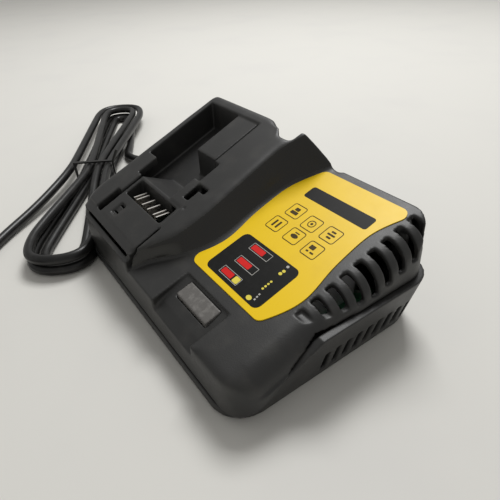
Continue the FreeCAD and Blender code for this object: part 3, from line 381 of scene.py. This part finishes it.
def soft_rubber():
    finish = Finish("soft_rubber", (0.018, 0.018, 0.018), 0.6)
    finish.dust_and_painted_reflection((0.08, 0.076, 0.07), 0.4, 150.0)
    finish.grain(2000.0, 0.3, 0.00012)
    return finish.material


def plain_metal(name, color, roughness):
    """Bare or plated sheet metal of this colour, with uneven gloss and fine drawing marks."""
    finish = Finish(name, color, roughness, Metallic=1.0)
    finish.uneven_gloss(0.16, 700.0)
    finish.grain(1800.0, 0.15, 0.00006)
    return finish.material


def inner_part(name, color, roughness):
    """Electrical part of this colour, with a lighter film and a fine grain."""
    finish = Finish(name, color, roughness)
    finish.dust_and_painted_reflection(tuple(c * 1.5 + 0.02 for c in color), 0.5, 300.0)
    finish.grain(1600.0, 0.2, 0.00008)
    return finish.material


def table_top():
    finish = Finish("pale_table", (0.70, 0.69, 0.65), 0.7)
    finish.dust_and_painted_reflection((0.67, 0.66, 0.63), 0.6, 14.0)
    return finish.material


# Making and dressing pieces
def new_piece(name, data):
    piece = bpy.data.objects.new(name, data)
    bpy.context.scene.collection.objects.link(piece)
    return piece


def mesh_from(name, work):
    """A mesh with what the bmesh holds, which is freed."""
    mesh = bpy.data.meshes.new(name)
    work.to_mesh(mesh)
    work.free()
    return mesh


def dressed(piece, slot, *materials):
    """Gives the piece its materials and lets it ride on the charger; the slot is not used."""
    for material in materials:
        piece.data.materials.append(material)
    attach(piece, "root")
    return piece


def evaluated_mesh(piece):
    graph = bpy.context.evaluated_depsgraph_get()
    graph.update()
    return bpy.data.meshes.new_from_object(piece.evaluated_get(graph))


def weld(mesh):
    """Joins the faces of the CAD mesh along their shared edges."""
    work = bmesh.new()
    work.from_mesh(mesh)
    bmesh.ops.remove_doubles(work, verts=work.verts, dist=WELD_DISTANCE)
    work.to_mesh(mesh)
    work.free()


def add_smoothing(piece, passes):
    relax = piece.modifiers.new("rounding", "SMOOTH")
    relax.factor = PASS_FACTOR
    relax.iterations = passes
    return relax


def moulded(name, node, voxel, passes, softness=None):
    """The CAD node's form with rounded edges, rounder still where softness is over 0."""
    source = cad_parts[node]
    mesh = evaluated_mesh(source)
    mesh.transform(source.matrix_world)
    mesh.materials.clear()
    weld(mesh)
    piece = new_piece(name, mesh)
    remesh = piece.modifiers.new("even_mesh", "REMESH")
    remesh.mode = "VOXEL"
    remesh.voxel_size = voxel * MM
    piece.data = evaluated_mesh(piece)
    piece.modifiers.clear()
    if softness:
        group = piece.vertex_groups.new(name="soft")
        for vertex in piece.data.vertices:
            weight = softness(*(vertex.co / MM))
            if weight > 0:
                group.add([vertex.index], weight, "REPLACE")
        add_smoothing(piece, RIM_PASSES).vertex_group = group.name
    add_smoothing(piece, passes)
    piece.data = evaluated_mesh(piece)
    piece.modifiers.clear()
    piece.vertex_groups.clear()
    piece.data.polygons.foreach_set("use_smooth", [True] * len(piece.data.polygons))
    return piece


def ramp(value, low, high):
    return min(1.0, max(0.0, (value - low) / (high - low)))


def housing_softness(x, y, z):
    """Full on the dock's outer rim, nose and wall and on the front edge, none on the bay and the vents."""
    if x > SCOOP_RIGHT:
        front = ramp(FRONT_EDGE_REAR - y, 0, FRONT_EDGE_BLEND)
        return front * ramp(x - SCOOP_RIGHT, 0, BLEND) * ramp(z, FRONT_EDGE_LOW, FRONT_EDGE_HIGH)
    if z < RIM_LOWEST or x > VENTS_LEFT:
        return 0.0
    above = ramp(z - label_z(y), UNDER_LABEL, OVER_LABEL)
    outside = max(ramp(DETAIL_LEFT - x, 0, BLEND), ramp(x - DETAIL_RIGHT, 0, BLEND),
                  ramp(y - DETAIL_REAR, 0, BLEND), ramp(DETAIL_FRONT - y, 0, BLEND))
    return above * outside * ramp(VENTS_LEFT - x, 0, BLEND)


# Faces of the right-facing wall, which take the polish together with the painted shade and painted reflection
def on_polished_wall_painted_shade(face):
    x, y, z = face.center / MM
    in_height = label_z(y, WALL_MARGIN) < z < dock_z(y) - WALL_MARGIN
    return in_height and x > WALL_LEFT and face.normal.x > WALL_FACING


# Housings and lens
def upper_housing(plastic):
    piece = moulded("top_cover", "upper_housing", FINE_VOXEL, EDGE_PASSES, housing_softness)
    for face in piece.data.polygons:
        face.material_index = int(on_polished_wall_painted_shade(face))
    dressed(piece, "housing", plastic, polished_plastic_painted_shade())
    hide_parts("upper_housing")


def lower_housing(plastic):
    piece = moulded("bottom_tray", "lower_housing", TRAY_VOXEL, EDGE_PASSES)
    dressed(piece, "housing", plastic)
    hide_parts("lower_housing")


def status_lens():
    piece = moulded("light_lens", "status_lens", LENS_VOXEL, LENS_PASSES)
    dressed(piece, "lens", lens_plastic())
    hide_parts("status_lens")


# Label and what is printed on it
def rounded(cx, cy, width, height, radius, steps=5):
    """Rounded rectangle as points on the label."""
    points = []
    for quarter, (sx, sy) in enumerate(((1, 1), (-1, 1), (-1, -1), (1, -1))):
        for i in range(steps + 1):
            angle = math.pi / 2 * (quarter + i / steps)
            points.append((cx + sx * (width / 2 - radius) + radius * math.cos(angle),
                           cy + sy * (height / 2 - radius) + radius * math.sin(angle)))
    return points


def disc(cx, cy, radius_x, radius_y, count=20):
    angles = [2 * math.pi * i / count for i in range(count)]
    return [(cx + radius_x * math.cos(angle), cy + radius_y * math.sin(angle)) for angle in angles]


def outlined(cx, cy, width, height, radius, line):
    """Outer and inner edge of a rounded outline."""
    inner_radius = max(radius - line, LEAST_CORNER)
    return [rounded(cx, cy, width, height, radius),
            rounded(cx, cy, width - 2 * line, height - 2 * line, inner_radius)]


def printed(name, shapes, layer, material):
    """Ink on the label: each shape is one edge, or an outer edge with an inner one."""
    work = bmesh.new()
    low = LABEL_THICKNESS + INK * layer
    for shape in shapes:
        edges = shape if isinstance(shape[0], list) else [shape]
        rings = [[[work.verts.new(Vector((x, y, label_z(y, lift))) * MM) for x, y in edge]
                  for lift in (low, low + INK)] for edge in edges]
        bottom, top = rings[0]
        for i, after in enumerate(list(range(1, len(top))) + [0]):
            work.faces.new((bottom[i], bottom[after], top[after], top[i]))
            if len(rings) == 2:
                inner_bottom, inner_top = rings[1]
                work.faces.new((inner_bottom[after], inner_bottom[i], inner_top[i], inner_top[after]))
                work.faces.new((top[i], top[after], inner_top[after], inner_top[i]))
                work.faces.new((bottom[after], bottom[i], inner_bottom[i], inner_bottom[after]))
        if len(rings) == 1:
            work.faces.new(top)
            work.faces.new(list(reversed(bottom)))
    return dressed(new_piece(name, mesh_from(name, work)), "label", material)


def status_panel(black, white):
    """Black panel with three outlined boxes and their bars."""
    printed("label_status_panel", [rounded(*PANEL)], 0, black)
    printed("label_status_boxes", [outlined(*box, BOX_ROUND, BOX_LINE) for box in STATUS_BOXES], 1, white)
    bars = [rounded(cx - width / 2 + BAR_MARGIN + length / 2, cy, length, height - BAR_NARROWER, BAR_ROUND)
            for (cx, cy, width, height), length in zip(STATUS_BOXES, BAR_LENGTHS)]
    printed("label_status_bars", bars, 1, ink("label_red", (0.68, 0.02, 0.018)))


def yellow_marks():
    """End of the lowest bar, and the marks in a row beside the boxes."""
    cx, cy, width, height = STATUS_BOXES[2]
    shapes = [rounded(cx + width / 2 - BAR_END_BACK, cy, *BAR_END)]
    shapes += [disc(*values) for values in YELLOW_DISCS]
    shapes += [disc(MARK_START[0], MARK_START[1] + MARK_STEP * i, *MARK_RADII) for i in range(MARK_COUNT)]
    printed("label_yellow_marks", shapes, 1, ink("label_pale_yellow", (0.80, 0.68, 0.10)))


def white_marks(white):
    dots = [rounded(DOT_START[0] + DOT_STEP[0] * i, DOT_START[1] + DOT_STEP[1] * i, *DOT_SIZE)
            for i in range(DOT_COUNT)]
    printed("label_white_marks", [disc(*WHITE_DISC)] + dots, 1, white)


def label_symbols():
    """Plain outlined squares, each with a simple shape inside."""
    shapes = []
    for (x, y), bars in SQUARES:
        shapes.append(outlined(x, y, SQUARE_WIDTH, SQUARE_HEIGHT, SQUARE_ROUND, SQUARE_LINE))
        shapes += [rounded(x + across, y + up, *size) for across, up, *size in bars]
    shapes.append(outlined(*SQUARES[1][0], *TARGET_RING))
    shapes.append(disc(*SQUARES[1][0], *TARGET_DOT))
    shapes.append(disc(*SQUARES[3][0], *POT))
    printed("label_symbols", shapes, 0, ink("label_brown", (0.06, 0.038, 0.008)))


# Cord and what is on it
def hank_point(along, across, z):
    return HANK_NEAR + HANK_ALONG * along + HANK_ACROSS * across + Vector((0, 0, z))


def hank_end(centre, half, z, sign):
    """Points round one end of a loop, from one side to the other."""
    return [hank_point(centre + sign * half * along, sign * half * across, z) for along, across in TURN_SHAPE]


def waist_pair(across, z, sign):
    """The two points that lead a strand through the waist."""
    return [hank_point(HANK_WAIST + sign * reach, across, z + WAIST_LIFT)
            for reach in (WAIST_REACH, -WAIST_REACH)]


def cord_points():
    """The whole cord's control points, from the strain relief to the plug."""
    entry = hank_point(HANK_START - CORD_DIAMETER, MIDDLE_HALF, LOW)
    points = [RELIEF_TIP] + [RELIEF_TIP + step for step in LEAD_IN] + [entry - HANK_ALONG * ENTRY_RUN, entry]
    for half, waist, z, waist_back, z_back in LOOPS:
        points += hank_end(FAR_MIDDLE, half - NARROWING, z, 1)
        points += waist_pair(-waist, z, 1)
        points += hank_end(NEAR_MIDDLE, half, z, -1)
        points += waist_pair(waist_back, z_back, -1)
    points += hank_end(FAR_MIDDLE, OUTER_HALF - NARROWING, HIGH, 1)
    return points + [hank_point(*place) for place in TAIL]


def mains_cord(jacket, pieces_on_it):
    curve = bpy.data.curves.new("mains_cord", "CURVE")
    curve.dimensions = "3D"
    curve.bevel_depth = CORD_DIAMETER / 2 * MM
    curve.bevel_resolution = 5
    curve.resolution_u = 8
    curve.use_fill_caps = True
    points = cord_points()
    spline = curve.splines.new("NURBS")
    spline.points.add(len(points) - 1)
    for point, place in zip(spline.points, points):
        point.co = (*(place * MM), 1)
    spline.order_u = 3
    spline.use_endpoint_u = True
    cord = dressed(new_piece("mains_cord", curve), "cord", jacket)
    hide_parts("cord_lead_in", "cord_hank", "cord_tail")


def plug(rubber):
    """The plug with rounded edges and shallow grip grooves across its two broad sides."""
    piece = moulded("plug_grip", "plug_body", FINE_VOXEL, PLUG_PASSES)
    start = hank_point(*PLUG_START)
    way = (start - hank_point(*PLUG_APPROACH)).normalized()
    for vertex in piece.data.vertices:
        along = (vertex.co / MM - start).dot(way) - GROOVES_START
        if 0 < along < GROOVES_LENGTH and abs(vertex.normal.z) > FLAT_SIDE:
            wave = math.sin(along / GROOVES_LENGTH * math.pi * GROOVE_COUNT)
            depth = GROOVE_DEPTH * MM * max(0.0, wave) ** 2
            vertex.co.z -= math.copysign(depth, vertex.normal.z)
    dressed(piece, "rubber", rubber)
    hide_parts("plug_body")
    return piece


def sleeve_profile():
    """X and radius of the sleeve, from the end of its shank in the housing to its tip."""
    root = RELIEF_TIP.x + SLEEVE_LENGTH
    profile = [(SHANK_END, 0.0), (SHANK_END, SHANK_RADIUS), (root, SHANK_RADIUS)]
    for rib in range(SLEEVE_RIBS):
        for share, cut in RIB_SHAPE:
            along = (rib + share) / SLEEVE_RIBS
            radius = SLEEVE_ROOT_RADIUS + (SLEEVE_END_RADIUS - SLEEVE_ROOT_RADIUS) * along
            profile.append((root - along * SLEEVE_LENGTH, radius - cut * SLEEVE_GROOVE))
    return profile + [(RELIEF_TIP.x, SLEEVE_END_RADIUS), (RELIEF_TIP.x, 0.0)]


def strain_relief(rubber):
    """Tapered sleeve with ribs, turned about the cord where it leaves the housing."""
    work = bmesh.new()
    angles = [2 * math.pi * side / SLEEVE_SIDES for side in range(SLEEVE_SIDES)]
    rings = []
    for x, radius in sleeve_profile():
        middle = Vector((x, RELIEF_TIP.y, RELIEF_TIP.z))
        places = [middle + Vector((0, math.cos(angle), math.sin(angle))) * radius for angle in angles]
        rings.append([work.verts.new(place * MM) for place in places])
    for here, after in zip(rings, rings[1:]):
        for side in range(SLEEVE_SIDES):
            other = (side + 1) % SLEEVE_SIDES
            work.faces.new((here[side], after[side], after[other], here[other]))
    bmesh.ops.remove_doubles(work, verts=work.verts, dist=WELD_DISTANCE / 2)
    bmesh.ops.recalc_face_normals(work, faces=work.faces)
    piece = new_piece("strain_relief_boot", mesh_from("strain_relief_boot", work))
    dressed(piece, "rubber", rubber)
    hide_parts("strain_relief")
    return piece


# Pieces that are shown as they are
def finish_nodes(material, *names):
    for name in names:
        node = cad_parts[name]
        node.data.materials.clear()
        node.data.materials.append(material)


def metal_nodes():
    finish_nodes(contact_metal(), "terminal_blades")
    zinc = plain_metal("zinc_steel", (0.55, 0.55, 0.53), 0.35)
    finish_nodes(zinc, "board_screws", "housing_screws", "fuse_clips")
    finish_nodes(plain_metal("bare_aluminium", (0.72, 0.72, 0.74), 0.4), "heat_sink")
    finish_nodes(plain_metal("prong_plate", (0.78, 0.77, 0.74), 0.22), "plug_prongs")


def electrical_nodes():
    carrier = inner_part("contact_carrier", (0.02, 0.02, 0.02), 0.5)
    finish_nodes(carrier, "terminal_carrier", "mains_block")
    finish_nodes(inner_part("board_green", (0.02, 0.12, 0.05), 0.4), "circuit_board")
    finish_nodes(inner_part("ferrite", (0.05, 0.05, 0.055), 0.55), "transformer_core", "line_choke")
    finish_nodes(inner_part("bobbin_black", (0.03, 0.03, 0.03), 0.5), "transformer_bobbin", "cord_saddle")
    finish_nodes(inner_part("winding_tape", (0.62, 0.45, 0.08), 0.45), "transformer_winding")
    sleeve = inner_part("capacitor_sleeve", (0.03, 0.05, 0.12), 0.3)
    finish_nodes(sleeve, "input_capacitor", "output_capacitors")
    finish_nodes(inner_part("device_case", (0.02, 0.02, 0.02), 0.45), "power_device")
    finish_nodes(inner_part("fuse_glass", (0.6, 0.64, 0.62), 0.12), "fuse")
    finish_nodes(inner_part("led_red", (0.5, 0.03, 0.02), 0.2), "status_leds")


# Studio
def camera():
    turn, tilt, roll = (math.radians(angle) for angle in (CAMERA_TURN, CAMERA_TILT, CAMERA_ROLL))
    ahead = Vector((-math.sin(turn) * math.cos(tilt), math.cos(turn) * math.cos(tilt), -math.sin(tilt)))
    right = Vector((math.cos(turn), math.sin(turn), 0))
    down = ahead.cross(right)
    across = right * math.cos(roll) - down * math.sin(roll)
    below = right * math.sin(roll) + down * math.cos(roll)
    data = bpy.data.cameras.new("camera")
    data.sensor_width = SENSOR
    data.lens = FOCAL_PIXELS / PHOTO_SIZE * SENSOR
    data.clip_start = CLOSEST_SEEN * MM
    piece = new_piece("camera", data)
    rotation = Matrix((across, -below, -ahead)).transposed().to_4x4()
    piece.matrix_world = Matrix.Translation(Vector(CAMERA_PLACE) * MM) @ rotation
    bpy.context.scene.camera = piece


def soft_box():
    lamp = bpy.data.lights.new("soft_box", "AREA")
    lamp.energy = LAMP_ENERGY
    lamp.size = LAMP_SIZE
    piece = new_piece("soft_box", lamp)
    piece.location = LAMP_PLACE
    piece.rotation_euler = (-Vector(LAMP_PLACE)).to_track_quat("-Z", "Y").to_euler()


def studio():
    bpy.context.scene.view_settings.view_transform = "Standard"
    world = bpy.data.worlds.new("studio")
    bpy.context.scene.world = world
    world.use_nodes = True
    background = world.node_tree.nodes["Background"]
    background.inputs["Color"].default_value = WORLD_COLOR
    background.inputs["Strength"].default_value = WORLD_LIGHT
    soft_box()
    corners = [(-FLOOR_HALF, -FLOOR_HALF, 0), (FLOOR_HALF, -FLOOR_HALF, 0),
               (FLOOR_HALF, FLOOR_HALF, 0), (-FLOOR_HALF, FLOOR_HALF, 0)]
    mesh = bpy.data.meshes.new("floor")
    mesh.from_pydata(corners, [], [(0, 1, 2, 3)])
    mesh.materials.append(table_top())
    new_piece("floor", mesh)


camera()
studio()

jacket = cord_jacket()
rubber = soft_rubber()
cord_nodes = [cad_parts[name] for name in ("plug_neck", "plug_prongs", "hank_tie")]
mains_cord(jacket, [strain_relief(rubber), plug(rubber)] + cord_nodes)
finish_nodes(jacket, "inner_cord", "hank_tie")
finish_nodes(rubber, "rubber_feet", "plug_neck")

plastic = spark_plastic()
upper_housing(plastic)
lower_housing(plastic)
status_lens()
metal_nodes()
electrical_nodes()

black = ink("label_black", (0.010, 0.010, 0.0095))
white = ink("label_white", (0.48, 0.47, 0.44))
finish_nodes(yellow_film(), "label_sheet")
status_panel(black, white)
yellow_marks()
white_marks(white)
printed("label_black_strip", [rounded(*BLACK_STRIP)], 0, black)
label_symbols()
